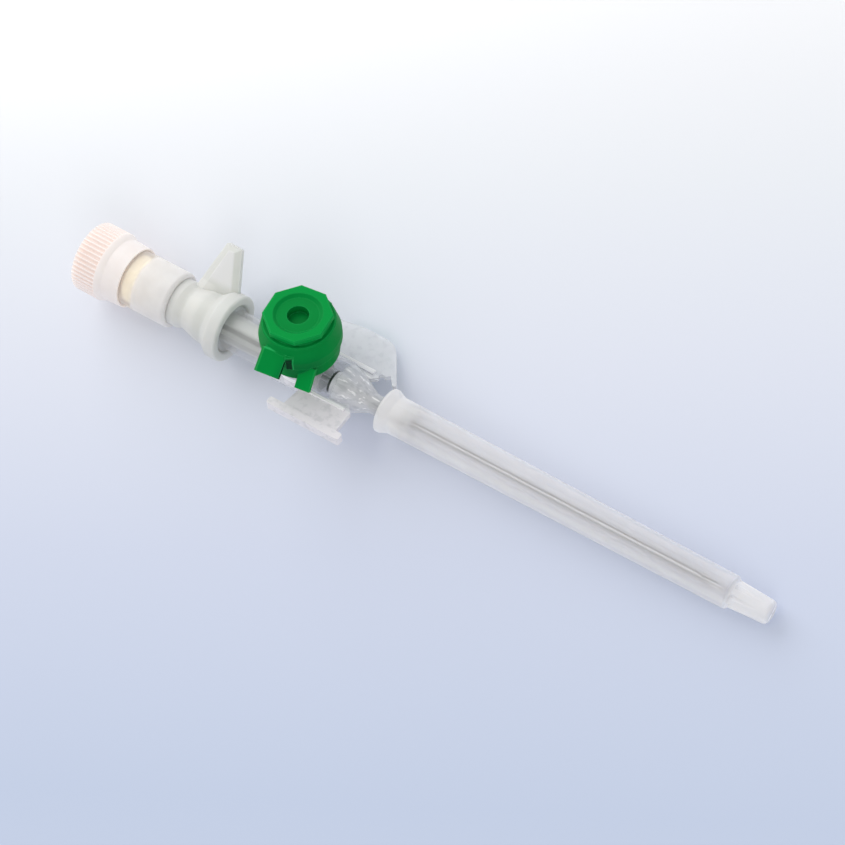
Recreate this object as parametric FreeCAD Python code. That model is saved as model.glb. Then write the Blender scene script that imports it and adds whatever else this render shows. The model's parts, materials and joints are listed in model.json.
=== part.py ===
"""Ported intravenous cannula, 18 gauge, with its needle set, luer cap and sheath.

The model is built along the needle: X runs from the luer cap to the sheath's tip, Z runs up
the injection port, and both start where their axes cross. The finished pieces are then turned
together into the pose in which the cannula lies on a table. All lengths are in millimetres.
"""
import FreeCAD
import Part
import math
import os

Vector = FreeCAD.Vector

# Fits between pieces
seat_gap = 0.02            # between pieces pushed or moulded together
luer_gap = 0.03            # between a male and a female luer cone
slide_gap = 0.05           # between pieces that slide or turn on each other
lid_gap = 0.12             # between the lid's skirt and the ring below it
edge_round = 0.15
overrun = 1.0              # how far a cutter runs past the face it opens

# Needle and catheter
needle_d = 0.90
needle_wall = 0.13
catheter_wall = 0.15
catheter_length = 45.0     # free length ahead of the hub's nose
needle_reach = 1.7         # how far the point stands out of the catheter
bevel_angle = 14.0
tip_taper_length = 1.6
tip_wall = 0.04

# Hub
hub_rear_x = -12.6
flange_r = 3.3
flange_length = 0.8
luer_mouth_r = 2.14
luer_taper = 0.03          # loss of radius for each millimetre of depth
luer_depth = 9.3
rear_tube_r = 2.85
body_rear_x = -4.6
body_cone = 1.2
body_r = 3.4
body_front_x = 5.6
shoulder_bulge = 0.22      # how far the shoulder's curve stands out from a straight line
shoulder_x = 8.8
shoulder_r = 2.45
nose_root_x = 10.9
nose_root_r = 1.4
nose_fillet = 0.3
hub_nose_x = 17.0
nose_end_r = 1.2

# Valve under the port
valve_half_length = 3.3
valve_r = 2.05
valve_wall = 0.4

# Steel bush that holds the catheter
bush_rear_x = 4.6
bush_rear_r = 1.72
bush_wall = 0.15
bush_flange_length = 0.35
bush_tail_x = 8.4
bush_tail_length = 2.6
flare_start = 0.5          # from the bush's tail to the catheter's rear end
flare_over = 0.2           # of the catheter's flare past the bush
flare_cone = 0.8

# Injection port
port_top = 8.4
port_r = 3.55
port_mouth_r = 2.14
port_floor = 2.7
port_hole_r = 0.9

# Wings
wing_bottom = 0.25
wing_thickness = 0.8
wing_root_y = 2.4
wing_root_rear_x = -0.2
wing_root_front_x = 8.8
far_rear_x = -0.9
far_rear_y = 8.2
far_edge_x = 3.6
far_edge_y = 8.9
far_corner_x = 8.5
far_corner_round = 3.2
far_tip_x = 12.55
far_tip_y = 3.0
far_tip_width = 0.65
far_bay_x = 10.8
far_bay_y = 4.2
wing_notch_r = 0.42
wing_notch_x = 9.9
wing_notch_y = 3.45
near_plate_rear_x = 1.4
near_plate_front_x = 9.7
near_plate_step = 0.7      # by which the plate narrows towards the body
near_bar_rear_x = -0.5
near_bar_front_x = 10.9
near_bar_y = 8.0
bar_width = 1.1
bar_bottom = 0.05
bar_height = 1.35
bar_round = 0.3
wing_rib_y = 3.1
wing_rib_width = 0.65
wing_rib_height = 0.35

# Port lid and its ring, turned a little about the port as in the photograph
lid_turn = 7.0
ring_bottom = 4.2
ring_height = 2.4
ring_r = 4.95
ring_lug_r = 5.9
ring_lug_width = 2.2
ring_lug_height = 1.0
skirt_r = 5.45
skirt_top_r = 4.87
skirt_straight = 1.4       # height of the skirt's straight lower wall
skirt_bore_r = 4.25
skirt_top = 10.55
lid_top = 11.8
lid_plate_height = 0.9
lid_flat_r = 4.32          # from the port's axis to a flat of the octagon
lid_groove_r = 4.2
lid_roof = 9.4
lid_chamfer = 0.15
dish_r = 3.28
dish_slope = 0.5
dish_depth = 0.35
lid_hole_r = 1.45
lid_hole_depth = 1.6
plug_r = 1.3
plug_depth = 0.9           # how far the plug goes into the port

# Hinge of the lid
hinge_y = 5.6
hinge_pin_r = 0.3
hinge_knuckle_r = 0.6
hinge_width = 1.5          # width of the lid's knuckle
hinge_side_gap = 0.1
hinge_ear = 0.4
hinge_shelf = 1.1

# Lifting tab of the lid, and the ring's tongue beside it
tab_left_x = -2.9
tab_right_x = 0.8
tab_fold_y = -4.95
tab_fold_z = 9.3
tab_root_y = -3.6
tab_length = 3.3
tab_slope = 34.5
tab_thickness = 0.6
tab_bevel = 0.5            # along the tab's left side
tab_foot_z = 6.85
leg_width = 0.95
leg_reach = 0.6            # by which the leg stands out past the fold
leg_side_y = -5.0
tongue_x = 1.9
tongue_width = 2.1
tongue_root_y = -3.6
tongue_drop = 0.3
tongue_length = 3.2
tongue_slope = 45.0
tongue_thickness = 0.6

# Needle grip
collar_r = 4.75
collar_round = 0.3
collar_length = 1.7
collar_overhang = 1.0      # by which the collar's rim covers the hub's flange
collar_recess_r = 3.45
male_luer_length = 7.6
male_luer_tip = 0.3
grip_length = 8.9
grip_step_r = 3.35
grip_step_length = 1.1
grip_neck_r = 3.0
grip_neck_x = -18.4
grip_bulge_r = 3.65
grip_bulge_x = -16.0
grip_waist_x = -14.6
grip_waist_r = 3.8
grip_bore_r = 1.5
needle_seat_x = -17.0
spigot_length = 2.6
fin_angle = 45.0           # from the far side up towards the port
fin_base_rear_x = -19.2
fin_base_front_x = -12.0
fin_top_rear_x = -16.9
fin_top_front_x = -14.5
fin_top_r = 10.3
fin_thickness = 1.3
fin_edge = 0.6             # thickness left at the fin's edge
fin_border = 0.85
fin_top_round = 0.3

# Flash chamber and vent
chamber_r = 4.0
chamber_wall = 0.6
chamber_front_round = 0.5
chamber_rear_x = -28.2
chamber_rear_wall = 0.3
chamber_neck_r = 3.1
chamber_neck_length = 2.6
chamber_lug_r = 3.6
chamber_lug_width = 1.8
chamber_lug_length = 0.7
vent_length = 1.9

# Luer cap
cap_front_x = -27.9
cap_length = 7.4
cap_rib_r = 4.95
cap_rib_depth = 0.22
cap_rib_count = 48
cap_ribbed_length = 3.8
cap_cone_length = 0.9
cap_rim_r = 4.35
cap_bore_r = 4.1
cap_end_wall = 1.1
cap_rear_round = 0.35
cap_stem_reach = 0.5       # between the stem's tip and the chamber's rear

# Sheath
sheath_mouth_x = 12.9
sheath_mouth_r = 3.08
sheath_lip = 0.45
sheath_neck_length = 1.6
sheath_rear_r = 2.6
sheath_front_r = 2.27
sheath_wall = 0.45
sheath_point_room = 0.9    # from the needle's point to the end of the bore
sheath_end_wall = 0.4
sheath_nub_r = 1.9
sheath_nub_end_r = 1.6
sheath_nub_length = 5.8
sheath_nub_round = 0.6
sheath_flutes = 8
sheath_flute_r = 0.42
sheath_grip_ribs = 4
sheath_rib_width = 0.5

# Worked out from the sizes above
catheter_bore_r = needle_d / 2 + slide_gap
catheter_r = catheter_bore_r + catheter_wall
catheter_tip_x = hub_nose_x + catheter_length
needle_tip_x = catheter_tip_x + needle_reach
bush_tail_r = catheter_bore_r + bush_wall
bush_front_x = bush_tail_x + bush_tail_length
flare_bore_r = bush_tail_r + seat_gap
flare_r = flare_bore_r + catheter_wall
flare_rear_x = bush_tail_x + flare_start
flare_front_x = bush_front_x + flare_over
flare_cone_x = flare_front_x + flare_cone
wing_top = wing_bottom + wing_thickness
ring_top = ring_bottom + ring_height
skirt_bottom = ring_top + lid_gap
hinge_z = skirt_bottom + hinge_knuckle_r - edge_round
recess_x = hub_rear_x - seat_gap
collar_front_x = hub_rear_x + collar_overhang
collar_rear_x = collar_front_x - collar_length
grip_rear_x = collar_front_x - grip_length
chamber_front_x = grip_rear_x - seat_gap
chamber_bore_r = chamber_r - chamber_wall
chamber_neck_x = chamber_rear_x - chamber_neck_length
spigot_r = chamber_bore_r - chamber_wall
spigot_rear_x = grip_rear_x - spigot_length
vent_rear_x = chamber_rear_x + chamber_rear_wall
cap_rear_x = cap_front_x - cap_length
stem_r = luer_mouth_r - luer_gap
sheath_neck_x = sheath_mouth_x + sheath_neck_length
sheath_bore_end = needle_tip_x + sheath_point_room
sheath_end_x = sheath_bore_end + sheath_end_wall


def outline_wire(steps, to_point):
    """Closed wire through the steps. A step of four numbers is an arc: a point on it, its end."""
    edges = []
    here = to_point(*steps[0])
    for step in steps[1:] + steps[:1]:
        there = to_point(*step[-2:])
        if len(step) == 4:
            edges.append(Part.Arc(here, to_point(*step[:2]), there).toShape())
        else:
            edges.append(Part.makeLine(here, there))
        here = there
    return Part.Wire(edges)


def turned(steps):
    """Solid of revolution about the needle's axis from (x, radius) steps."""
    face = Part.Face(outline_wire(steps, lambda x, r: Vector(x, 0, r)))
    return face.revolve(Vector(0, 0, 0), Vector(1, 0, 0), 360)


def upright(steps):
    """Solid of revolution about the port's axis from (radius, z) steps."""
    face = Part.Face(outline_wire(steps, lambda r, z: Vector(r, 0, z)))
    return face.revolve(Vector(0, 0, 0), Vector(0, 0, 1), 360)


def sheet(steps, z0, z1):
    """Flat plate between two heights from (x, y) steps."""
    face = Part.Face(outline_wire(steps, lambda x, y: Vector(x, y, z0)))
    return face.extrude(Vector(0, 0, z1 - z0))


def slab(steps, x0, x1):
    """Plate between two stations along the needle from (y, z) steps."""
    face = Part.Face(outline_wire(steps, lambda y, z: Vector(x0, y, z)))
    return face.extrude(Vector(x1 - x0, 0, 0))


def rod(x0, x1, r):
    return Part.makeCylinder(r, x1 - x0, Vector(x0, 0, 0), Vector(1, 0, 0))


def post(z0, z1, r, x=0.0, y=0.0):
    return Part.makeCylinder(r, z1 - z0, Vector(x, y, z0), Vector(0, 0, 1))


def block(low, high):
    size = [b - a for a, b in zip(low, high)]
    return Part.makeBox(size[0], size[1], size[2], Vector(*low))


def about_needle(shape, angle):
    return shape.copy().rotate(Vector(0, 0, 0), Vector(1, 0, 0), angle)


def about_port(shape, angle):
    return shape.copy().rotate(Vector(0, 0, 0), Vector(0, 0, 1), angle)


def round_uprights(shape, radius, *places):
    """Rounds the edges along Z that stand at the given (x, y) places."""
    def stands(edge):
        a, b = edge.Vertexes[0].Point, edge.Vertexes[-1].Point
        if math.hypot(a.x - b.x, a.y - b.y) > 1e-6:
            return False
        return any(math.hypot(a.x - x, a.y - y) < 1e-3 for x, y in places)
    return shape.makeFillet(radius, [edge for edge in shape.Edges if stands(edge)])


def round_rings(shape, radius, *places):
    """Rounds the round edges about the needle's axis at the given (x, radius) places."""
    def goes_round(edge):
        if not isinstance(edge.Curve, Part.Circle):
            return False
        x, r = edge.Curve.Center.x, edge.Curve.Radius
        return any(abs(x - px) < 1e-3 and abs(r - pr) < 1e-3 for px, pr in places)
    return shape.makeFillet(radius, [edge for edge in shape.Edges if goes_round(edge)])


def female_luer(mouth_x, depth):
    """Cone to cut for a luer socket that opens towards the luer cap."""
    end_r = luer_mouth_r - luer_taper * depth
    return turned([(mouth_x - overrun, 0), (mouth_x - overrun, luer_mouth_r),
                   (mouth_x, luer_mouth_r), (mouth_x + depth, end_r), (mouth_x + depth, 0)])


def male_luer(root_x, depth):
    """Solid nose that seats in a luer socket whose mouth is at the same place."""
    end_r = stem_r - luer_taper * depth
    return turned([(root_x, 0), (root_x, stem_r), (root_x + depth - male_luer_tip, end_r),
                   (root_x + depth, end_r - male_luer_tip), (root_x + depth, 0)])


def hub_outside():
    flange_front = hub_rear_x + flange_length
    middle_x = (body_front_x + shoulder_x) / 2
    middle_r = (body_r + shoulder_r) / 2 + shoulder_bulge
    hub = turned([(hub_rear_x, 0), (hub_rear_x, flange_r), (flange_front, flange_r),
                  (flange_front, rear_tube_r), (body_rear_x, rear_tube_r),
                  (body_rear_x + body_cone, body_r), (body_front_x, body_r),
                  (middle_x, middle_r, shoulder_x, shoulder_r), (nose_root_x, nose_root_r),
                  (hub_nose_x, nose_end_r), (hub_nose_x, 0)])
    hub = round_rings(hub, edge_round, (hub_rear_x, flange_r), (flange_front, flange_r),
                      (hub_nose_x, nose_end_r))
    return round_rings(hub, nose_fillet, (shoulder_x, shoulder_r), (nose_root_x, nose_root_r))


def hub_passage():
    """What is bored out of the hub along the needle."""
    bush_room_r = bush_rear_r + seat_gap
    tail_room_r = flare_r + seat_gap
    nose_room_r = catheter_r + seat_gap
    front = turned([(valve_half_length, 0), (valve_half_length, bush_room_r),
                    (bush_rear_x + bush_flange_length, bush_room_r), (bush_tail_x, tail_room_r),
                    (flare_front_x, tail_room_r), (flare_cone_x, nose_room_r),
                    (hub_nose_x + overrun, nose_room_r), (hub_nose_x + overrun, 0)])
    return [female_luer(hub_rear_x, luer_depth), rod(-valve_half_length, valve_half_length, valve_r),
            front]


def far_wing():
    """Wing on the far side, with a round corner and a narrow tip that runs past the nose."""
    outline = [(wing_root_rear_x, wing_root_y), (far_rear_x, far_rear_y / 2),
               (far_rear_x, far_rear_y), (far_edge_x, far_edge_y), (far_corner_x, far_edge_y),
               (far_tip_x, far_tip_y), (far_tip_x - far_tip_width, far_tip_y),
               (far_bay_x, far_bay_y), (wing_root_front_x, wing_root_y)]
    plate = sheet(outline, wing_bottom, wing_top)
    plate = round_uprights(plate, far_corner_round, outline[4])
    plate = round_uprights(plate, bar_round, outline[2], outline[5])
    return plate.cut(post(wing_bottom - overrun, wing_top + overrun, wing_notch_r,
                          wing_notch_x, wing_notch_y))


def near_wing():
    """Wing on the near side, whose edge bar runs past the plate at both ends."""
    inner_y = bar_width - near_bar_y
    plate = sheet([(near_plate_rear_x + near_plate_step, -wing_root_y), (near_plate_rear_x, inner_y),
                   (near_plate_front_x, inner_y), (near_plate_front_x, inner_y / 2),
                   (wing_root_front_x, -wing_root_y)], wing_bottom, wing_top)
    bar = block((near_bar_rear_x, -near_bar_y, bar_bottom),
                (near_bar_front_x, inner_y, bar_bottom + bar_height))
    bar = round_uprights(bar, bar_round, (near_bar_rear_x, -near_bar_y), (near_bar_rear_x, inner_y),
                         (near_bar_front_x, -near_bar_y), (near_bar_front_x, inner_y))
    return plate.fuse(bar)


def wing_rib(side):
    """Low ridge where a wing leaves the body."""
    y0, y1 = sorted((side * wing_rib_y, side * (wing_rib_y + wing_rib_width)))
    return block((near_plate_rear_x, y0, wing_bottom),
                 (wing_root_front_x, y1, wing_top + wing_rib_height))


def port_tower():
    return upright([(0, 0), (port_r, 0), (port_r, port_top - edge_round),
                    (port_r - edge_round, port_top), (0, port_top)])


def port_bore():
    depth = port_top - port_floor
    bore = upright([(0, port_floor), (port_mouth_r - luer_taper * depth, port_floor),
                    (port_mouth_r, port_top), (port_mouth_r, port_top + overrun),
                    (0, port_top + overrun)])
    return [bore, post(0, port_top, port_hole_r)]


def catheter_hub():
    hub = hub_outside().fuse([port_tower(), far_wing(), near_wing(), wing_rib(1), wing_rib(-1)])
    return hub.removeSplitter().cut(hub_passage() + port_bore())


def valve_sleeve():
    outer = valve_r - seat_gap
    half = valve_half_length - seat_gap
    return rod(-half, half, outer).cut(rod(-half - overrun, half + overrun, outer - valve_wall))


def ferrule():
    """Steel bush: a wide mouth for the needle, a cone, and a tail under the catheter."""
    mouth_x = bush_rear_x + bush_flange_length
    return turned([(bush_rear_x, bush_rear_r - bush_wall), (bush_rear_x, bush_rear_r),
                   (mouth_x, bush_rear_r), (bush_tail_x, bush_tail_r), (bush_front_x, bush_tail_r),
                   (bush_front_x, catheter_bore_r), (bush_tail_x, catheter_bore_r),
                   (mouth_x, bush_rear_r - bush_wall)])


def catheter_tube():
    return turned([(flare_rear_x, flare_bore_r), (flare_rear_x, flare_r), (flare_front_x, flare_r),
                   (flare_cone_x, catheter_r), (catheter_tip_x - tip_taper_length, catheter_r),
                   (catheter_tip_x, catheter_bore_r + tip_wall), (catheter_tip_x, catheter_bore_r),
                   (flare_cone_x, catheter_bore_r), (flare_front_x, flare_bore_r)])


def needle():
    """Steel tube whose front end is ground to a slanting point."""
    r = needle_d / 2
    tube = rod(needle_seat_x, needle_tip_x, r)
    tube = tube.cut(rod(needle_seat_x - overrun, needle_tip_x + overrun, r - needle_wall))
    heel_x = needle_tip_x - needle_d / math.tan(math.radians(bevel_angle))
    past_x = needle_tip_x + overrun
    steps = [(needle_tip_x, -r), (heel_x, r), (heel_x, r + overrun), (past_x, r + overrun),
             (past_x, -r)]
    face = Part.Face(outline_wire(steps, lambda x, z: Vector(x, -needle_d, z)))
    return tube.cut(face.extrude(Vector(0, 2 * needle_d, 0)))


def fin_outline(border, y):
    """The fin's outline, set in by a border along its free edges, at a distance y from its middle."""
    foot = grip_neck_r - chamber_wall
    steps = [(fin_base_rear_x + 1.4 * border, foot), (fin_top_rear_x + border, fin_top_r - border),
             (fin_top_front_x - border, fin_top_r - border),
             (fin_base_front_x - 1.3 * border, foot)]
    return outline_wire(steps, lambda x, z: Vector(x, y, z))


def grip_fin():
    """Thumb fin with sloping borders, built standing up and then turned to its side."""
    core = Part.Face(fin_outline(0, -fin_edge / 2)).extrude(Vector(0, fin_edge, 0))
    tops = [edge for edge in core.Edges
            if all(abs(v.Point.z - fin_top_r) < 1e-6 for v in edge.Vertexes)
            and abs(edge.Vertexes[0].Point.y - edge.Vertexes[-1].Point.y) > fin_edge / 2]
    core = core.makeFillet(fin_top_round, tops)
    faces = []
    for side in (1, -1):
        faces.append(Part.makeLoft([fin_outline(fin_top_round / 2, side * fin_edge / 2),
                                    fin_outline(fin_border, side * fin_thickness / 2)], True, True))
    return about_needle(core.fuse(faces), fin_angle - 90)


def grip_outside():
    waist_front_x = collar_rear_x
    body = turned([(spigot_rear_x, 0), (spigot_rear_x, spigot_r - edge_round),
                   (spigot_rear_x + edge_round, spigot_r), (grip_rear_x, spigot_r),
                   (grip_rear_x, grip_step_r), (grip_rear_x + grip_step_length, grip_step_r),
                   (grip_neck_x, grip_neck_r), (grip_bulge_x, grip_bulge_r),
                   (grip_waist_x, grip_waist_r), (waist_front_x, collar_r),
                   (collar_front_x, collar_r), (collar_front_x, collar_recess_r),
                   (recess_x, collar_recess_r), (recess_x, 0)])
    body = round_rings(body, collar_round, (collar_front_x, collar_r),
                       (collar_front_x, collar_recess_r), (waist_front_x, collar_r))
    return round_rings(body, 3 * collar_round, (grip_neck_x, grip_neck_r),
                       (grip_bulge_x, grip_bulge_r), (grip_waist_x, grip_waist_r))


def needle_grip():
    solid = grip_outside().fuse([male_luer(recess_x, male_luer_length), grip_fin()])
    luer_end_x = recess_x + male_luer_length
    hub_room = turned([(recess_x, stem_r), (recess_x, collar_recess_r),
                       (collar_front_x + overrun, collar_recess_r),
                       (collar_front_x + overrun, stem_r)])
    bores = [rod(needle_seat_x - overrun, luer_end_x + overrun, needle_d / 2 + seat_gap),
             rod(spigot_rear_x - overrun, needle_seat_x, grip_bore_r)]
    return solid.removeSplitter().cut(bores).cut(hub_room)


def flash_chamber():
    """Chamber pushed over the grip's spigot, with a luer neck behind."""
    shell = turned([(chamber_neck_x, 0), (chamber_neck_x, chamber_neck_r),
                    (chamber_rear_x, chamber_neck_r), (chamber_rear_x, chamber_r),
                    (chamber_front_x, chamber_r), (chamber_front_x, 0)])
    shell = round_rings(shell, edge_round, (chamber_rear_x, chamber_r))
    shell = round_rings(shell, chamber_front_round, (chamber_front_x, chamber_r))
    lug_face = (chamber_neck_x, chamber_neck_x + chamber_lug_length)
    lug_foot = chamber_neck_r - edge_round
    lugs = [block((lug_face[0], -chamber_lug_r, -chamber_lug_width / 2),
                  (lug_face[1], -lug_foot, chamber_lug_width / 2)),
            block((lug_face[0], lug_foot, -chamber_lug_width / 2),
                  (lug_face[1], chamber_lug_r, chamber_lug_width / 2))]
    spigot_room_r = spigot_r + seat_gap
    step_x = spigot_rear_x - edge_round
    room = turned([(vent_rear_x - seat_gap, 0), (vent_rear_x - seat_gap, chamber_bore_r),
                   (step_x - chamber_wall, chamber_bore_r), (step_x, spigot_room_r),
                   (chamber_front_x + overrun, spigot_room_r), (chamber_front_x + overrun, 0)])
    socket = female_luer(chamber_neck_x, vent_rear_x - chamber_neck_x)
    return shell.fuse(lugs).removeSplitter().cut([room, socket])


def vent_filter():
    return rod(vent_rear_x, vent_rear_x + vent_length, chamber_bore_r - seat_gap)


def cap_groove(index):
    """One groove between two ribs of the luer cap."""
    half = math.pi * cap_rib_r / cap_rib_count / 2
    top = cap_rib_r + edge_round
    tip = cap_rib_r - cap_rib_depth
    groove = slab([(-half, top), (0, tip - cap_rib_depth / 2, half, top)],
                  cap_rear_x - overrun, cap_rear_x + cap_ribbed_length)
    return about_needle(groove, 360.0 / cap_rib_count * index)


def luer_cap():
    """Cap with fine ribs round its rear end and a stem that closes the chamber's luer neck."""
    cone_x = cap_rear_x + cap_ribbed_length
    inner_x = cap_rear_x + cap_end_wall
    shell = turned([(cap_rear_x, 0), (cap_rear_x, cap_rib_r), (cone_x, cap_rib_r),
                    (cone_x + cap_cone_length, cap_rim_r + edge_round), (cap_front_x, cap_rim_r),
                    (cap_front_x, cap_bore_r), (inner_x, cap_bore_r), (inner_x, 0)])
    shell = round_rings(shell, cap_rear_round, (cap_rear_x, cap_rib_r), (inner_x, cap_bore_r))
    stem_end_x = chamber_rear_x - cap_stem_reach
    taper_start_x = chamber_neck_x - edge_round
    end_r = stem_r - luer_taper * (stem_end_x - taper_start_x)
    stem = turned([(inner_x - seat_gap, 0), (inner_x - seat_gap, stem_r), (taper_start_x, stem_r),
                   (stem_end_x - male_luer_tip, end_r), (stem_end_x, end_r - male_luer_tip),
                   (stem_end_x, 0)])
    grooves = [cap_groove(i) for i in range(cap_rib_count)]
    return shell.fuse(stem).removeSplitter().cut(grooves)


def hinge_cylinder(radius, half_width):
    return Part.makeCylinder(radius, 2 * half_width, Vector(-half_width, hinge_y, hinge_z),
                             Vector(1, 0, 0))


def hinge_ears():
    """Two ears on the ring with the pin between them, on a shelf under the lid's knuckle."""
    inner = hinge_width / 2 + hinge_side_gap
    outer = inner + hinge_ear
    root_y = port_r + seat_gap
    foot = ring_top - hinge_shelf
    front_y = hinge_y + hinge_knuckle_r
    shelf_top = hinge_z - hinge_knuckle_r - lid_gap
    ear = [(root_y, foot), (front_y, foot), (front_y, hinge_z),
           (hinge_y, hinge_z + hinge_knuckle_r, hinge_y - hinge_knuckle_r, hinge_z),
           (root_y, ring_top - edge_round)]
    shelf = block((-outer, root_y, foot), (outer, front_y, shelf_top))
    return [slab(ear, -outer, -inner), slab(ear, inner, outer), shelf,
            hinge_cylinder(hinge_pin_r, outer)]


def sloped_plate(x0, x1, y, z, length, slope, thickness):
    """Plate that leaves a line along X and runs outwards and down on the near side."""
    angle = math.radians(slope)
    run, drop = length * math.cos(angle), length * math.sin(angle)
    under_y, under_z = thickness * math.sin(angle), -thickness * math.cos(angle)
    return slab([(y, z), (y - run, z - drop), (y - run + under_y, z - drop + under_z),
                 (y + under_y, z + under_z)], x0, x1)


def port_ring():
    ring = post(ring_bottom, ring_top, ring_r)
    ring = ring.makeChamfer(edge_round, [edge for edge in ring.Edges
                                         if isinstance(edge.Curve, Part.Circle)])
    lug = block((-ring_lug_r, -ring_lug_width / 2, ring_bottom),
                (-port_r, ring_lug_width / 2, ring_bottom + ring_lug_height))
    tongue = sloped_plate(tongue_x, tongue_x + tongue_width, tongue_root_y, ring_top - tongue_drop,
                          tongue_length, tongue_slope, tongue_thickness)
    knuckle_room = hinge_cylinder(hinge_knuckle_r + lid_gap, hinge_width / 2 + hinge_side_gap)
    ring = ring.cut(knuckle_room).fuse([lug, tongue] + hinge_ears()).removeSplitter()
    room = post(ring_bottom - overrun, ring_top + overrun, port_r + seat_gap)
    return about_port(ring.cut(room), lid_turn)


def octagon(across_r, z0, z1):
    corner_r = across_r / math.cos(math.pi / 8)
    corners = []
    for i in range(8):
        angle = math.pi / 8 + i * math.pi / 4
        corners.append((corner_r * math.cos(angle), corner_r * math.sin(angle)))
    return sheet(corners, z0, z1)


def lid_shell():
    """Octagonal top with a round dish, over a groove and a round skirt that widens downwards."""
    plate_bottom = lid_top - lid_plate_height
    plate = octagon(lid_flat_r, plate_bottom, lid_top)
    rims = [edge for edge in plate.Edges
            if abs(edge.Vertexes[0].Point.z - edge.Vertexes[-1].Point.z) < 1e-6]
    plate = plate.makeChamfer(lid_chamfer, rims)
    skirt = upright([(0, skirt_bottom), (skirt_r - edge_round, skirt_bottom),
                     (skirt_r, skirt_bottom + edge_round), (skirt_r, skirt_bottom + skirt_straight),
                     (skirt_top_r, skirt_top - edge_round), (skirt_top_r - edge_round, skirt_top),
                     (lid_groove_r, skirt_top), (lid_groove_r, plate_bottom + edge_round),
                     (0, plate_bottom + edge_round)])
    return skirt.fuse(plate)


def lid_tab():
    """Lifting tab: it folds over at the skirt's top and slopes down, with a foot and a leg."""
    plate = sloped_plate(tab_left_x, tab_right_x, tab_fold_y, tab_fold_z, tab_length, tab_slope,
                         tab_thickness)
    corner = Vector(tab_left_x, tab_fold_y, tab_fold_z)
    left_side = [edge for edge in plate.Edges
                 if abs(edge.Length - tab_length) < 1e-6
                 and any(v.Point.distanceToPoint(corner) < 1e-6 for v in edge.Vertexes)]
    plate = plate.makeChamfer(tab_bevel, left_side)
    foot = block((tab_left_x + tab_bevel, tab_fold_y, tab_foot_z),
                 (tab_right_x, tab_root_y, tab_fold_z))
    leg_x = tab_right_x + leg_width
    leg = sheet([(tab_right_x - edge_round, tab_root_y), (tab_right_x - edge_round, tab_fold_y),
                 (tab_right_x, tab_fold_y - leg_reach), (leg_x, leg_side_y), (leg_x, tab_root_y)],
                tab_foot_z, tab_fold_z)
    return [plate, foot, leg]


def hinge_ear_room():
    """Notches in the skirt for the ring's two ears."""
    inner = hinge_width / 2
    outer = inner + hinge_ear + 2 * hinge_side_gap
    top = hinge_z + hinge_knuckle_r + lid_gap
    return [block((-outer, port_r, skirt_bottom - overrun), (-inner, hinge_y + overrun, top)),
            block((inner, port_r, skirt_bottom - overrun), (outer, hinge_y + overrun, top))]


def port_lid():
    half = hinge_width / 2
    bridge = block((-half, skirt_bore_r, hinge_z), (half, hinge_y, hinge_z + hinge_knuckle_r))
    lid = lid_shell().cut(hinge_ear_room())
    lid = lid.fuse(lid_tab() + [bridge, hinge_cylinder(hinge_knuckle_r, half)]).removeSplitter()
    room = upright([(0, skirt_bottom - overrun), (skirt_bore_r, skirt_bottom - overrun),
                    (skirt_bore_r, lid_roof - lid_gap), (skirt_bore_r - lid_gap, lid_roof),
                    (0, lid_roof)])
    pin_bore = hinge_cylinder(hinge_pin_r + slide_gap, half + overrun)
    dish = upright([(0, lid_top - dish_depth), (dish_r - dish_slope, lid_top - dish_depth),
                    (dish_r, lid_top), (dish_r, lid_top + overrun), (0, lid_top + overrun)])
    hole = post(lid_top - lid_hole_depth, lid_top + overrun, lid_hole_r)
    plug_bottom = port_top - plug_depth
    plug = upright([(0, plug_bottom), (plug_r - edge_round, plug_bottom),
                    (plug_r, plug_bottom + edge_round), (plug_r, lid_roof + edge_round),
                    (0, lid_roof + edge_round)])
    return about_port(lid.cut([room, pin_bore, dish, hole]).fuse(plug), lid_turn)


def sheath_grip_rib(index):
    """Short rib inside the sheath that grips the hub's nose."""
    outer = sheath_rear_r - sheath_wall + edge_round
    rib = block((sheath_neck_x, -sheath_rib_width / 2, nose_root_r + slide_gap),
                (hub_nose_x, sheath_rib_width / 2, outer))
    return about_needle(rib, 360.0 / sheath_grip_ribs * (index + 0.5))


def sheath_flute(index):
    """One of the grooves along the sheath's closed end."""
    start = sheath_end_x + sheath_end_wall + edge_round
    groove = Part.makeCylinder(sheath_flute_r, sheath_nub_length,
                               Vector(start, 0, sheath_nub_r + sheath_flute_r / 2), Vector(1, 0, 0))
    return about_needle(groove, 360.0 / sheath_flutes * index)


def needle_sheath():
    """Tapered tube with a flared mouth, a closed front and a fluted end."""
    end_x = sheath_end_x + sheath_nub_length
    lip_x = sheath_mouth_x + sheath_lip
    outer = turned([(sheath_mouth_x, 0), (sheath_mouth_x, sheath_mouth_r), (lip_x, sheath_mouth_r),
                    (sheath_neck_x, sheath_rear_r), (sheath_end_x, sheath_front_r),
                    (sheath_end_x + sheath_end_wall, sheath_nub_r), (end_x, sheath_nub_end_r),
                    (end_x, 0)])
    outer = round_rings(outer, edge_round, (sheath_mouth_x, sheath_mouth_r), (lip_x, sheath_mouth_r),
                        (sheath_end_x, sheath_front_r))
    outer = round_rings(outer, sheath_nub_round, (end_x, sheath_nub_end_r))
    mouth_bore_r = sheath_mouth_r - sheath_wall
    bore = turned([(sheath_mouth_x - overrun, 0), (sheath_mouth_x - overrun, mouth_bore_r),
                   (lip_x, mouth_bore_r), (sheath_neck_x, sheath_rear_r - sheath_wall),
                   (sheath_bore_end, sheath_front_r - sheath_wall), (sheath_bore_end, 0)])
    shell = outer.cut(bore).cut([sheath_flute(i) for i in range(sheath_flutes)])
    ribs = [sheath_grip_rib(i) for i in range(sheath_grip_ribs)]
    return shell.fuse(ribs).removeSplitter()


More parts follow.
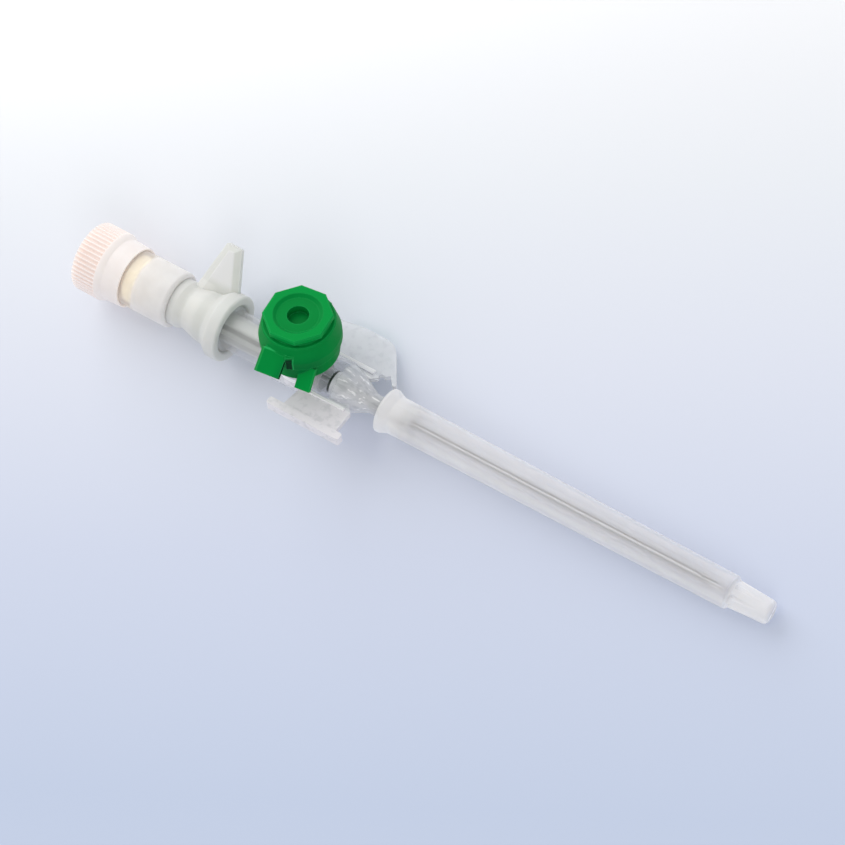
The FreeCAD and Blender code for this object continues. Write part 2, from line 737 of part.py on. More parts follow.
def lying_placement():
    """Turns the cannula onto the three places that touch the table.

    It lies on the grip's collar, the end of the sheath's tube and the outer edge of the far wing.
    """
    touch_x = collar_front_x - collar_round
    slope = (collar_r - sheath_front_r) / (sheath_end_x - touch_x)
    wing_x = far_corner_x - far_corner_round / 2
    depth = collar_r - slope * (wing_x - touch_x)
    roll = math.asin(depth / math.hypot(far_edge_y, wing_bottom)) + math.atan2(wing_bottom, far_edge_y)
    up = Vector(-slope, -math.sin(roll), math.cos(roll)).normalize()
    ahead = (Vector(1, 0, 0) - up * up.x).normalize()
    turn = FreeCAD.Rotation(ahead, up.cross(ahead), up, "ZXY").inverted()
    return FreeCAD.Placement(Vector(0, 0, 0), turn)


pieces = {
    "catheter_hub": catheter_hub,
    "valve_sleeve": valve_sleeve,
    "ferrule": ferrule,
    "catheter_tube": catheter_tube,
    "port_ring": port_ring,
    "port_lid": port_lid,
    "needle": needle,
    "needle_grip": needle_grip,
    "flash_chamber": flash_chamber,
    "vent_filter": vent_filter,
    "luer_cap": luer_cap,
    "needle_sheath": needle_sheath,
}

os.makedirs("parts", exist_ok=True)
lying = lying_placement()
shapes = {name: make() for name, make in pieces.items()}
for shape in shapes.values():
    shape.Placement = lying.multiply(shape.Placement)
box = Part.makeCompound(list(shapes.values())).optimalBoundingBox()
lift = Vector(-(box.XMin + box.XMax) / 2, -(box.YMin + box.YMax) / 2, -box.ZMin)
for name, shape in shapes.items():
    shape.translate(lift)
    shape.exportStep("parts/" + name + ".step")
    print(name, "solids", len(shape.Solids), "valid", shape.isValid(), "volume %.1f" % shape.Volume)
print("lying rotation", lying.Rotation.Q, "base", lift)
print("box", box.XLength, box.YLength, box.ZLength)
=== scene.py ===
"""Looks of a ported intravenous cannula lying on a pale table."""
import bpy
import json
import math
from mathutils import Matrix, Vector

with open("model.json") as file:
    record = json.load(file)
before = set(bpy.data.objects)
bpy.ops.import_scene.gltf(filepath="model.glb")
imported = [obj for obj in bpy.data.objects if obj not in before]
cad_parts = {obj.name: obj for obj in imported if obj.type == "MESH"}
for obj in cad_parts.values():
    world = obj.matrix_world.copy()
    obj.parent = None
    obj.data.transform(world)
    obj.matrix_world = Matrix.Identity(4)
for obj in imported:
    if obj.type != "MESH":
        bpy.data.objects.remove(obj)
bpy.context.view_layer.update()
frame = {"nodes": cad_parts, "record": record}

MM = 0.001

# The cannula's own directions: along the needle, towards the far side, and up the port
mounts = {mount["name"]: mount for mount in frame["record"]["mounts"]}
ALONG = -Vector(mounts["hub_luer"]["axis"])
UP_PORT = Vector(mounts["injection_port"]["axis"])
ACROSS = UP_PORT.cross(ALONG)
# The needle's axis and the port's axis cross below the port's mouth
PORT_HEIGHT = 8.4 * MM
CROSSING = Vector(mounts["injection_port"]["pos_m"]) - UP_PORT * PORT_HEIGHT
# The lid and its ring stand turned a little about the port
LID_TURN = math.radians(7)
LID_COS = math.cos(LID_TURN)
LID_SIN = math.sin(LID_TURN)
# Sideways is square to the needle in the photograph, partly across and partly up the port
SIDEWAYS_ACROSS = 0.875
SIDEWAYS_UP = 0.484


def place(x, y, z):
    """A point of the cannula, in millimetres along, across and up the port, as a point in space."""
    return CROSSING + (ALONG * x + ACROSS * y + UP_PORT * z) * MM


def direction(x, y, z):
    """A direction of the cannula, along, across and up the port, as a direction in space."""
    return ALONG * x + ACROSS * y + UP_PORT * z


# The camera stands where the photograph was taken from
CAMERA_PLACE = place(165.8, -186.1, 338.5)
CAMERA_RIGHT = direction(0.8263, 0.5609, -0.0509)
CAMERA_BACK = CAMERA_RIGHT.cross(direction(-0.4356, 0.6938, 0.5734)).normalized()
CAMERA_UP = CAMERA_BACK.cross(CAMERA_RIGHT).normalized()
SENSOR_WIDTH = 36
LENS = 136.3

# What the finishes share
WHITE = (1, 1, 1)
GRAIN_DEPTH = 0.004
MILKINESS = 0.6
MILK_SPREAD = (1.0, 0.95, 0.9)
# Where two faces meet, the rounded normal leaves the face's own: cosines for mask 0 and mask 1
EDGE_TURN = (0.975, 0.90)


class Number:
    """A socket that carries a number, so that shader maths reads as Python."""

    def __init__(self, finish, socket):
        self.finish = finish
        self.socket = socket

    def __add__(self, other):
        return self.finish.maths("ADD", self, other)

    def __sub__(self, other):
        return self.finish.maths("SUBTRACT", self, other)

    def __rsub__(self, other):
        return self.finish.maths("SUBTRACT", other, self)

    def __mul__(self, other):
        return self.finish.maths("MULTIPLY", self, other)

    def __truediv__(self, other):
        return self.finish.maths("DIVIDE", self, other)

    def __pow__(self, other):
        return self.finish.maths("POWER", self, other)

    __radd__ = __add__
    __rmul__ = __mul__


class Finish:
    """A material under construction; x, y and z are millimetres along, across and up the port."""

    def __init__(self, name):
        self.material = bpy.data.materials.new(name)
        self.material.use_nodes = True
        self.tree = self.material.node_tree
        self.tree.nodes.clear()
        self.output = self.tree.nodes.new("ShaderNodeOutputMaterial")
        position = self.node("ShaderNodeTexCoord")["Object"]
        self.point = self.vector("SCALE", self.vector("SUBTRACT", position, CROSSING), 1 / MM)
        self.x = self.dot(self.point, ALONG)
        self.y = self.dot(self.point, ACROSS)
        self.z = self.dot(self.point, UP_PORT)

    def link(self, socket, value):
        """Feeds a socket with a number, a link, a colour or a vector."""
        if isinstance(value, Number):
            value = value.socket
        if isinstance(value, bpy.types.NodeSocket):
            self.tree.links.new(value, socket)
        elif socket.type == "RGBA" and len(value) == 3:
            socket.default_value = (*value, 1)
        else:
            socket.default_value = value

    def node(self, kind, *values, settings=None, **sockets):
        """Adds a node, sets it, feeds its sockets in order or by name, and returns its outputs."""
        node = self.tree.nodes.new(kind)
        for key, value in (settings or {}).items():
            if key == "stops":
                self.set_stops(node.color_ramp, value)
            else:
                setattr(node, key, value)
        for socket, value in zip([entry for entry in node.inputs if entry.enabled], values):
            self.link(socket, value)
        for key, value in sockets.items():
            self.link(node.inputs[key.replace("_", " ")], value)
        return {output.name: output for output in node.outputs if output.enabled}

    def set_stops(self, ramp, stops):
        """Gives a colour ramp its stops, each a position and a colour."""
        while len(ramp.elements) < len(stops):
            ramp.elements.new(0.5)
        for element, (position, colour) in zip(ramp.elements, stops):
            element.position = position
            element.color = (*colour, 1)

    def maths(self, operation, *values):
        """The number that a Math node makes of numbers."""
        made = self.node("ShaderNodeMath", *values, settings={"operation": operation})
        return Number(self, made["Value"])

    def vector(self, operation, *values):
        """The vector that a Vector Math node makes of its inputs."""
        made = self.node("ShaderNodeVectorMath", *values, settings={"operation": operation})
        return made["Vector"]

    def dot(self, a, b):
        """Dot product of two vectors: how far a reaches along b, where b has length 1."""
        made = self.node("ShaderNodeVectorMath", a, b, settings={"operation": "DOT_PRODUCT"})
        return Number(self, made["Value"])

    def distance(self, a, b):
        """Distance from an axis, from the two distances square to it."""
        return self.maths("SQRT", a * a + b * b)

    def sideways(self):
        """Millimetres to the side of the needle in the photograph, upwards in the picture."""
        return SIDEWAYS_ACROSS * self.y + SIDEWAYS_UP * self.z

    def noise(self, size, detail=3.0, roughness=0.5, stretch=None):
        """Noise from 0 to 1 whose lumps are about size millimetres across."""
        point = self.point
        if stretch is not None:
            scaled = [value * share for value, share in zip((self.x, self.y, self.z), stretch)]
            point = self.node("ShaderNodeCombineXYZ", *scaled)["Vector"]
        made = self.node("ShaderNodeTexNoise", Vector=point, Scale=1 / size, Detail=detail,
                         Roughness=roughness)
        return Number(self, made["Fac"])

    def ramp(self, value, zero, one):
        """A mask that rises smoothly from 0 to 1 as the value goes from zero to one."""
        made = self.node("ShaderNodeMapRange", Value=value, From_Min=zero, From_Max=one,
                         settings={"interpolation_type": "SMOOTHSTEP"})
        return Number(self, made["Result"])

    def line(self, value, middle, outside, inside):
        """1 where the value is within inside of the middle, fading to 0 at outside."""
        return self.ramp(self.maths("ABSOLUTE", value - middle), outside, inside)

    def either(self, a, b):
        """The stronger of two masks."""
        return self.maths("MAXIMUM", a, b)

    def blend(self, amount, a, b):
        """Colour a where amount is 0, and colour b where it is 1."""
        return self.node("ShaderNodeMix", amount, a, b, settings={"data_type": "RGBA"})["Result"]

    def bump(self, height, depth, normal=None):
        """Normal from a height of 0 to 1, where 1 stands for depth millimetres."""
        sockets = {"Height": height, "Distance": depth * MM}
        if normal is not None:
            sockets["Normal"] = normal
        return self.node("ShaderNodeBump", **sockets)["Normal"]

    def soft_edges(self, radius):
        """Normal that rounds sharp edges by a radius in millimetres."""
        return self.node("ShaderNodeBevel", Radius=radius * MM, settings={"samples": 4})["Normal"]

    def moulded(self, grain, swell, depth, radius=None):
        """Normal of a moulding: fine grain, swells of a depth, and edges rounded by a radius."""
        rounded = None if radius is None else self.soft_edges(radius)
        return self.bump(grain, GRAIN_DEPTH, self.bump(swell, depth, rounded))

    def out_from_needle(self):
        """Direction straight out from the needle's axis."""
        along = self.vector("SCALE", ALONG, self.x)
        return self.vector("NORMALIZE", self.vector("SUBTRACT", self.point, along))

    def edge(self, blend=0.5, normal=None):
        """0 where the surface faces the viewer, rising to 1 where it turns away."""
        sockets = {"Blend": blend}
        if normal is not None:
            sockets["Normal"] = normal
        return Number(self, self.node("ShaderNodeLayerWeight", **sockets)["Facing"])

    def on_edge(self, radius):
        """1 on the lines where faces meet, fading to 0 within a radius in millimetres."""
        turned = self.dot(self.soft_edges(radius), self.node("ShaderNodeNewGeometry")["Normal"])
        return self.ramp(turned, *EDGE_TURN)

    def principled(self, **sockets):
        """Blender's general surface shader."""
        return self.node("ShaderNodeBsdfPrincipled", **sockets)["BSDF"]

    def mixed(self, amount, a, b):
        """Shader a where amount is 0, and shader b where it is 1."""
        return self.node("ShaderNodeMixShader", amount, a, b)["Shader"]

    def fade(self, alpha, shader, tint=WHITE):
        """The shader where alpha is 1, and what lies behind, tinted, where it is 0."""
        return self.mixed(alpha, self.node("ShaderNodeBsdfTransparent", Color=tint)["BSDF"], shader)

    def shine(self, roughness):
        """A colourless reflection."""
        return self.node("ShaderNodeBsdfGlossy", Color=WHITE, Roughness=roughness)["BSDF"]

    def milky(self, colour, depth, **sockets):
        """Plastic that light sinks into, by a depth in millimetres, before it comes back."""
        return self.principled(Base_Color=colour, Subsurface_Weight=MILKINESS,
                               Subsurface_Radius=MILK_SPREAD, Subsurface_Scale=depth * MM,
                               **sockets)

    def done(self, shader):
        """Puts the shader on the surface and returns the finished material."""
        self.link(self.output.inputs["Surface"], shader)
        return self.material


# A pair of numbers says where a mask is 0 and where it is 1, in millimetres if nothing else is
# said. A pair of colours holds the two that noise blends.

# The hub's wings with their ribs, which carry a painted highlight, its nose, and the clear gap
# round the bush's rim
WING_ROOT = (3.15, 3.5)
WING_TOP = (2.2, 1.6)
NEAR_WING = (-3.0, -3.6)
RIB_INSIDE = (3.05, 3.2)
RIB_OUTSIDE = (3.85, 3.8)
RIB_TOP = (1.08, 1.16)
NOSE = (5.7, 6.7)
WINDOW_BACK = (3.9, 4.5)
WINDOW_FRONT = (6.3, 5.7)
# The hub's rear tube and its painted dark streaks of shade: middle, outer and inner half width,
# sideways
REAR_TUBE = (-4.7, -5.0)
PAINTED_WIDE_STREAK = (-0.25, 0.5, 0.15)
PAINTED_THIN_STREAK = (-1.5, 0.45, 0.15)
# Levels of noise, for the painted highlights and painted shade in the nose and for mottling on the
# wings
GLINT_NOISE = (0.57, 0.69)
SHADE_NOISE = (0.47, 0.62)
MOTTLE_NOISE = (0.48, 0.70)
CLEAR = (0.80, 0.80, 0.815)
CLEAR_TINT = (0.98, 0.983, 0.985)
FROSTED = (0.93, 0.93, 0.945)
FROSTED_NEAR = (0.95, 0.915, 0.93)
PAINTED_SHADE_AND_MOTTLE = (0.50, 0.52, 0.53)
PAINTED_HIGHLIGHT = (0.98, 0.98, 0.98)
PAINTED_SHADE_STREAK = (0.36, 0.355, 0.36)


def clear_plastic():
    """Polished clear moulding, frosted on the wings, with painted highlights and painted shade in
    its nose.
    """
    f = Finish("clear_plastic")
    flow = f.noise(2.5, 2)
    fine = f.noise(0.08, 2)
    edge = f.edge()
    aside = f.maths("ABSOLUTE", f.y)
    wing = f.ramp(aside, *WING_ROOT) * f.ramp(f.z, *WING_TOP)
    near = wing * f.ramp(f.y, *NEAR_WING)
    rib = f.ramp(aside, *RIB_INSIDE) * f.ramp(aside, *RIB_OUTSIDE) * f.ramp(f.z, *RIB_TOP) * wing
    nose = f.ramp(f.x, *NOSE) * (1 - wing)
    window = f.ramp(f.x, *WINDOW_BACK) * f.ramp(f.x, *WINDOW_FRONT) * (1 - wing)
    sideways = f.sideways()
    streak = f.either(f.line(sideways, *PAINTED_WIDE_STREAK), 0.6 * f.line(sideways, *PAINTED_THIN_STREAK))
    streak = streak * f.ramp(f.x, *REAR_TUBE)
    # Painted highlights and painted shade in the nose
    glint = nose * f.ramp(f.noise(0.5, 2, stretch=(0.12, 1, 1)), *GLINT_NOISE)
    shade = nose * f.ramp(f.noise(0.7, 3, stretch=(0.2, 1.1, 1.1)), *SHADE_NOISE)
    mottle = wing * f.ramp(f.noise(0.9, 2), *MOTTLE_NOISE)
    colour = f.blend(wing, CLEAR, FROSTED)
    colour = f.blend(near, colour, FROSTED_NEAR)
    colour = f.blend(0.6 * shade + 0.30 * mottle, colour, PAINTED_SHADE_AND_MOTTLE)
    # Painted highlight along the wing ribs and in the nose
    colour = f.blend(f.either(rib, glint), colour, PAINTED_HIGHLIGHT)
    # Painted dark streaks of shade along the rear tube
    colour = f.blend(streak, colour, PAINTED_SHADE_STREAK)
    skin = f.principled(Base_Color=colour, Roughness=0.22 + 0.2 * wing + 0.1 * fine,
                        Specular_IOR_Level=0.5, Normal=f.bump(fine, 0.003, f.bump(flow, 0.05)))
    veil = (0.10 + 0.25 * edge ** 2 + 0.16 * wing + 0.40 * near + 0.3 * rib + 0.2 * streak
            + 0.38 * nose + 0.25 * glint + 0.08 * flow) * (1 - 0.8 * window)
    gloss = (0.03 + 0.6 * edge ** 4) * (1 - 0.7 * wing)
    return f.done(f.mixed(gloss, f.fade(veil, skin, CLEAR_TINT), f.shine(0.1)))


def catheter_plastic():
    """Thin clear tube with faint streaks along it, denser where it turns away."""
    f = Finish("catheter_plastic")
    streak = f.noise(0.5, 3, stretch=(0.1, 1, 1))
    edge = f.edge(normal=f.out_from_needle())
    colour = f.blend(streak, (0.84, 0.84, 0.84), (0.90, 0.90, 0.90))
    return f.done(f.principled(Base_Color=colour, Roughness=0.2 + 0.15 * streak,
                               Alpha=0.05 + 0.25 * edge ** 2, Normal=f.bump(streak, 0.01)))


# The needle's painted dark reflection lines along its sides grow from behind the port to the
# sheath, and the upper is stronger
LINE_GROWTH = (-5.0, 16.0)
UPPER_SIDE = (-0.05, 0.05)
# Each line lies between the middle and the outline of the tube, by how far it turns away
LINE_INSIDE = (0.06, 0.12)
LINE_OUTSIDE = (0.5, 0.32)
BRIGHT_STEEL = ((0.80, 0.81, 0.83), (0.92, 0.92, 0.94))
PAINTED_DARK_REFLECTION = (0.03, 0.03, 0.035)


def steel():
    """Drawn steel with fine lines along the tube, and a painted dark reflection along its sides."""
    f = Finish("steel")
    lines = f.noise(0.12, 4, 0.6, stretch=(0.03, 1, 1))
    stain = f.noise(2.0, 2)
    edge = f.edge(normal=f.out_from_needle())
    upper = 0.7 + 0.3 * f.ramp(f.sideways(), *UPPER_SIDE)
    side = f.ramp(edge, *LINE_INSIDE) * f.ramp(edge, *LINE_OUTSIDE) * f.ramp(f.x, *LINE_GROWTH)
    # Painted dark reflection along the needle's sides, by how far the tube turns away
    colour = f.blend(side * upper, f.blend(lines, *BRIGHT_STEEL), PAINTED_DARK_REFLECTION)
    return f.done(f.principled(Base_Color=colour, Metallic=1.0,
                               Roughness=0.2 + 0.12 * lines + 0.06 * stain,
                               Normal=f.bump(lines, GRAIN_DEPTH)))


# The upper part of the bush's rear rim, painted near black as shade
BUSH_RIM = (4.97, 4.90)
BUSH_RIM_TOP = (-0.4, 0.5)
PALE_STEEL = ((0.74, 0.75, 0.77), (0.88, 0.88, 0.90))
PAINTED_SHADE_RIM = (0.012, 0.016, 0.016)


def bush_steel():
    """Matt pale steel of the bush, with painted shade on its rim."""
    f = Finish("bush_steel")
    lines = f.noise(0.2, 4, 0.6, stretch=(0.1, 1, 1))
    rim = f.ramp(f.x, *BUSH_RIM) * f.ramp(f.z, *BUSH_RIM_TOP)
    # Painted shade on the bush's rim
    colour = f.blend(rim, f.blend(lines, *PALE_STEEL), PAINTED_SHADE_RIM)
    return f.done(f.principled(Base_Color=colour, Metallic=0.35 + 0.65 * rim,
                               Roughness=0.45 + 0.1 * lines, Normal=f.bump(lines, GRAIN_DEPTH)))


def silicone():
    """Soft grey sleeve, half see-through."""
    f = Finish("silicone")
    mottle = f.noise(0.6, 3)
    colour = f.blend(mottle, (0.70, 0.71, 0.72), (0.78, 0.79, 0.79))
    return f.done(f.principled(Base_Color=colour, Roughness=0.45 + 0.15 * mottle, Alpha=0.5,
                               Normal=f.bump(mottle, 0.01)))


# The green pieces in the lid's own directions: painted shade on the lower front of the skirt
LOW_HEIGHT = (9.4, 7.2)
LOW_NEAR = (-1.5, -4.0)
LOW_FRONT = (-0.5, 1.0)
# The ring's sloping tongue, with painted light on its top
TONGUE_HEIGHT = (6.6, 6.5)
TONGUE_OUT = (4.97, 5.05)
TONGUE_FRONT = (1.8, 1.9)
# The tab's leg, with painted shade on its face and a painted highlight on its border
LEG_BACK = (0.70, 0.76)
LEG_FRONT = (1.82, 1.72)
LEG_NEAR = (-4.92, -4.98)
LEG_HEIGHT = (9.15, 8.7)
LEG_FACE = (1.66, 1.50)
LEG_BORDER = (1.58, 1.68)
# The fold where the tab meets its foot, painted as a highlight line: middle, outer and inner half
# width
FOLD_NEAR = (-4.95, 0.18, 0.08)
FOLD_HEIGHT = (9.3, 0.18, 0.08)
FOLD_END = (0.9, 0.8)
# The rim round the lid's dish, painted lighter as a highlight
RIM_HEIGHT = (10.9, 11.0)
RIM_OUT = (3.25, 3.35)
GREEN = ((0.0, 0.215, 0.037), (0.0, 0.250, 0.045))
PAINTED_SHADE_GREEN = (0.0, 0.12, 0.030)
PAINTED_LIGHT_GREEN = (0.0, 0.32, 0.055)
PAINTED_SHADOW_GREEN = (0.0, 0.030, 0.010)
PAINTED_HIGHLIGHT_GREEN = (0.02, 0.42, 0.11)


def green_plastic():
    """Satin green moulding with a fine grain, with painted highlights on its edges and painted
    shade in the tab's corner.
    """
    f = Finish("green_plastic")
    cloud = f.noise(3.0, 3)
    grain = f.noise(0.07, 2)
    x = LID_COS * f.x + LID_SIN * f.y
    y = LID_COS * f.y - LID_SIN * f.x
    out = f.distance(x, y)
    low = f.ramp(f.z, *LOW_HEIGHT) * f.ramp(y, *LOW_NEAR) * f.ramp(x, *LOW_FRONT)
    tongue = f.ramp(f.z, *TONGUE_HEIGHT) * f.ramp(out, *TONGUE_OUT) * f.ramp(x, *TONGUE_FRONT)
    leg = f.ramp(x, *LEG_BACK) * f.ramp(x, *LEG_FRONT)
    leg = leg * f.ramp(y, *LEG_NEAR) * f.ramp(f.z, *LEG_HEIGHT)
    fold = f.line(y, *FOLD_NEAR) * f.line(f.z, *FOLD_HEIGHT) * f.ramp(x, *FOLD_END)
    rim = f.ramp(f.z, *RIM_HEIGHT) * f.ramp(out, *RIM_OUT)
    # Painted highlights on the edges, the fold and the border of the tab's leg
    lines = f.either(0.8 * f.on_edge(0.2), fold)
    lines = f.either(lines, 0.8 * leg * f.ramp(x, *LEG_BORDER))
    colour = f.blend(cloud, *GREEN)
    # Painted shade on the lower front of the skirt
    colour = f.blend(0.6 * low, colour, PAINTED_SHADE_GREEN)
    # Painted light on the tongue's top and a painted highlight on the dish's rim
    colour = f.blend(f.either(tongue, 0.6 * rim), colour, PAINTED_LIGHT_GREEN)
    # Painted shade on the face of the tab's leg
    colour = f.blend(0.95 * leg * f.ramp(x, *LEG_FACE), colour, PAINTED_SHADOW_GREEN)
    colour = f.blend(lines, colour, PAINTED_HIGHLIGHT_GREEN)
    return f.done(f.principled(Base_Color=colour, Roughness=0.30 + 0.12 * grain + 0.08 * cloud,
                               Specular_IOR_Level=0.04,
                               Normal=f.moulded(grain, cloud, 0.03, radius=0.14)))


# The grip's fin, half way between across and up, and its neck behind the collar, which carries
# painted light
FIN_LEAN = 0.7071
FIN_OUT = (4.2, 5.5)
FIN_FACE = (0.55, 0.64)
NECK_FRONT = (-15.5, -17.0)
NECK_OUT = (4.3, 4.6)
MILKY_GREEN = ((0.67, 0.68, 0.64), (0.72, 0.725, 0.685))
PAINTED_LIGHT_NECK = (0.79, 0.785, 0.745)
PAINTED_SHEEN_AND_FIN_WHITE = (0.80, 0.795, 0.785)


def grip_plastic():
    """Milky plastic with a faint green cast, painted light on the neck, a painted sheen where it
    turns away, and whiter fin faces.
    """
    f = Finish("grip_plastic")
    cloud = f.noise(2.2, 3)
    grain = f.noise(0.09, 2)
    edge = f.edge(0.4)
    out = f.distance(f.y, f.z)
    off_fin = f.maths("ABSOLUTE", FIN_LEAN * (f.y - f.z))
    fin_face = f.ramp(out, *FIN_OUT) * f.ramp(off_fin, *FIN_FACE)
    neck = f.ramp(f.x, *NECK_FRONT) * (1 - f.ramp(out, *NECK_OUT))
    colour = f.blend(cloud, *MILKY_GREEN)
    # Painted light on the neck behind the collar
    colour = f.blend(0.8 * neck, colour, PAINTED_LIGHT_NECK)
    # Painted sheen where the surface turns away, and the fin's whiter faces
    colour = f.blend(f.either(0.7 * edge ** 2, fin_face), colour, PAINTED_SHEEN_AND_FIN_WHITE)
    skin = f.milky(colour, depth=2.2, Roughness=0.38 + 0.16 * grain,
                   Normal=f.moulded(grain, cloud, 0.03, radius=0.12))
    return f.done(f.fade(0.9, skin))


# The chamber's rear end is clearer, so that the vent filter shows
CLEARER_END = (-25.6, -26.3)
WARM_MILK = ((0.94, 0.885, 0.85), (0.98, 0.93, 0.895))


def chamber_plastic():
    """Frosted plastic, clearer at its rear end."""
    f = Finish("chamber_plastic")
    cloud = f.noise(1.8, 3)
    grain = f.noise(0.09, 2)
    clearer = f.ramp(f.x, *CLEARER_END)
    colour = f.blend(cloud, *WARM_MILK)
    skin = f.milky(colour, depth=2.2, Roughness=0.35 + 0.16 * grain,
                   Normal=f.moulded(grain, cloud, 0.02))
    return f.done(f.fade(0.72 - 0.5 * clearer + 0.2 * f.edge(0.4) + 0.08 * cloud, skin))


def filter_fibre():
    """Cream plug of fine matted fibre that glows faintly as painted light."""
    f = Finish("filter_fibre")
    fibre = f.noise(0.2, 5, 0.7)
    colour = f.blend(fibre, (0.95, 0.80, 0.55), (0.99, 0.91, 0.72))
    # Painted light: the plug glows so that it shows bright behind the cap's rim
    return f.done(f.milky(colour, depth=2.2, Roughness=0.85 + 0.1 * fibre,
                          Normal=f.bump(fibre, 0.06),
                          Emission_Color=colour, Emission_Strength=0.3))


# The cap's grooves, by distance from the needle's axis and behind its cone, and its end face, both
# painted darker as shade
GROOVE_TOP = (4.84, 4.68)
GROOVE_FLOOR = (4.5, 4.6)
GROOVE_FRONT = (-31.5, -31.7)
CAP_END = (-35.0, -35.25)
WARM_WHITE = ((0.95, 0.84, 0.795), (0.98, 0.885, 0.845))
PAINTED_GROOVE_SHADE = (0.78, 0.60, 0.52)
END_SHADE = (0.80, 0.71, 0.67)


def cap_plastic():
    """Warm white moulding with painted shade in its grooves, that glows faintly all over as painted
    light.
    """
    f = Finish("cap_plastic")
    cloud = f.noise(2.5, 3)
    grain = f.noise(0.08, 2)
    out = f.distance(f.y, f.z)
    groove = f.ramp(out, *GROOVE_TOP) * f.ramp(out, *GROOVE_FLOOR) * f.ramp(f.x, *GROOVE_FRONT)
    colour = f.blend(cloud, *WARM_WHITE)
    # Painted shade in the grooves and on the end face
    colour = f.blend(0.4 * groove, colour, PAINTED_GROOVE_SHADE)
    colour = f.blend(f.ramp(f.x, *CAP_END), colour, END_SHADE)
    # Painted light: the whole cap glows faintly
    return f.done(f.milky(colour, depth=1.2, Roughness=0.36 + 0.16 * grain,
                          Normal=f.moulded(grain, cloud, 0.02),
                          Emission_Color=colour, Emission_Strength=0.06))


# The sheath's solid end, its flared mouth, and the painted highlight band along its lower side
SOLID_END = (64.8, 65.6)
FLARED_MOUTH = (18.6, 14.6)
LOWER_SIDE = (-0.8, -1.7)
FROSTED_TUBE = ((0.93, 0.905, 0.90), (0.97, 0.945, 0.94))
PAINTED_SHEEN_AND_HIGHLIGHT = (0.98, 0.965, 0.96)


def sheath_plastic():
    """Frosted tube that the needle shows through, denser at its mouth and end, with a painted sheen
    and highlight band.
    """
    f = Finish("sheath_plastic")
    cloud = f.noise(3.0, 3, stretch=(0.3, 1, 1))
    grain = f.noise(0.1, 2)
    edge = f.edge(normal=f.out_from_needle())
    low = f.ramp(f.sideways(), *LOWER_SIDE)
    end = f.ramp(f.x, *SOLID_END)
    mouth = f.ramp(f.x, *FLARED_MOUTH)
    colour = f.blend(cloud, *FROSTED_TUBE)
    # Painted sheen where the tube turns away and a painted highlight band along its lower side
    colour = f.blend(f.either(edge ** 2, 0.8 * low), colour, PAINTED_SHEEN_AND_HIGHLIGHT)
    skin = f.milky(colour, depth=0.6, Roughness=0.30 + 0.15 * grain,
                   Normal=f.moulded(grain, cloud, 0.02))
    veil = 0.21 + 0.45 * edge ** 2 + 0.12 * low + 0.05 * cloud + 0.35 * end + 0.38 * mouth
    return f.done(f.fade(veil, skin))


# The table from the photograph's lower edge to its upper edge, in millimetres up the picture
TABLE_FRONT = -55.7
TABLE_DEPTH = 104.0
TABLE_COLOURS = [
    (0.0, (0.528, 0.608, 0.784)),
    (0.31, (0.631, 0.684, 0.835)),
    (0.54, (0.741, 0.775, 0.880)),
    (0.77, (0.835, 0.862, 0.908)),
    (1.0, (0.936, 0.944, 0.964)),
]
TABLE_HALF = 3.0


def table_top():
    """Pale table, white at the back and bluer at the front, with a faint soft reflection."""
    f = Finish("table_top")
    soft = f.noise(60, 2)
    back = (f.dot(f.point, CAMERA_UP) - TABLE_FRONT) / TABLE_DEPTH
    colour = f.node("ShaderNodeValToRGB", back + 0.01 * soft,
                    settings={"stops": TABLE_COLOURS})["Color"]
    matt = f.principled(Base_Color=colour, Roughness=0.7 + 0.1 * soft, Specular_IOR_Level=0.0)
    return f.done(f.mixed(0.15, matt, f.shine(0.2)))


FINISHES = {
    "catheter_hub": clear_plastic,
    "catheter_tube": catheter_plastic,
    "ferrule": bush_steel,
    "valve_sleeve": silicone,
    "port_ring": green_plastic,
    "port_lid": green_plastic,
    "needle": steel,
    "needle_grip": grip_plastic,
    "flash_chamber": chamber_plastic,
    "vent_filter": filter_fibre,
    "luer_cap": cap_plastic,
    "needle_sheath": sheath_plastic,
}


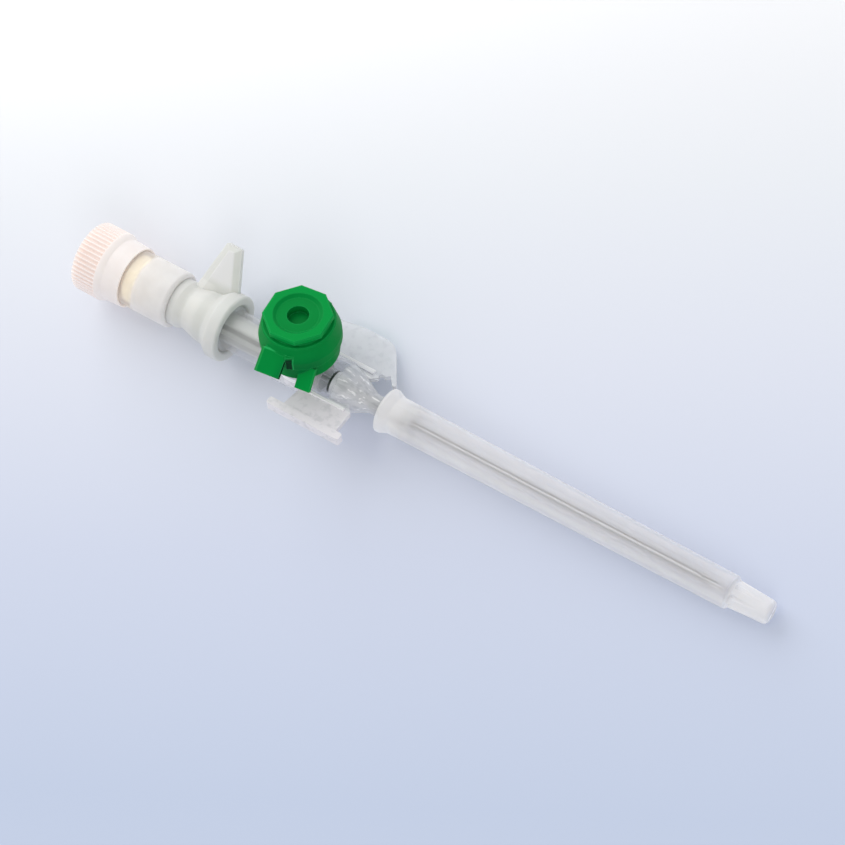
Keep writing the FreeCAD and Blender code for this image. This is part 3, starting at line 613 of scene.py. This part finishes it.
def dress_nodes():
    """Gives every solid its finish; pieces of one finish share the material."""
    made = {}
    for name, node in frame["nodes"].items():
        build = FINISHES[name]
        if build not in made:
            made[build] = build()
        node.data.materials.clear()
        node.data.materials.append(made[build])


def add_camera():
    """The photograph's viewpoint and lens."""
    data = bpy.data.cameras.new("camera")
    data.sensor_width = SENSOR_WIDTH
    data.lens = LENS
    camera = bpy.data.objects.new("camera", data)
    axes = Matrix((CAMERA_RIGHT.normalized(), CAMERA_UP, CAMERA_BACK)).transposed()
    camera.matrix_world = Matrix.Translation(CAMERA_PLACE) @ axes.to_4x4()
    bpy.context.scene.collection.objects.link(camera)
    bpy.context.scene.camera = camera


def add_table():
    """A wide flat table at height 0, which isn't part of the cannula."""
    mesh = bpy.data.meshes.new("table_top")
    corners = [(-TABLE_HALF, -TABLE_HALF, 0), (TABLE_HALF, -TABLE_HALF, 0),
               (TABLE_HALF, TABLE_HALF, 0), (-TABLE_HALF, TABLE_HALF, 0)]
    mesh.from_pydata(corners, [], [(0, 1, 2, 3)])
    table = bpy.data.objects.new("table_top", mesh)
    table.data.materials.append(table_top())
    bpy.context.scene.collection.objects.link(table)


def add_world(colour, strength):
    """Even light from all round."""
    world = bpy.data.worlds.new("studio")
    world.use_nodes = True
    background = world.node_tree.nodes["Background"]
    background.inputs["Color"].default_value = (*colour, 1)
    background.inputs["Strength"].default_value = strength
    bpy.context.scene.world = world


def add_lamp(name, target, offset, size, power):
    """A round soft lamp, in metres and watts, that faces a target from an offset."""
    data = bpy.data.lights.new(name, "AREA")
    data.shape = "DISK"
    data.size = size
    data.energy = power
    lamp = bpy.data.objects.new(name, data)
    lamp.location = target + offset
    lamp.rotation_euler = offset.to_track_quat("Z", "Y").to_euler()
    bpy.context.scene.collection.objects.link(lamp)


bpy.context.scene.view_settings.view_transform = "Standard"
dress_nodes()
add_camera()
add_table()
add_world(colour=(0.98, 0.985, 1.0), strength=0.70)
middle = place(15, 0, 0)
add_lamp("soft_box", middle, Vector((-1.05, 0.675, 0.825)), size=1.7, power=13.6)
add_lamp("fill_box", middle, Vector((0.50, -0.50, 0.70)), size=0.6, power=1.2)
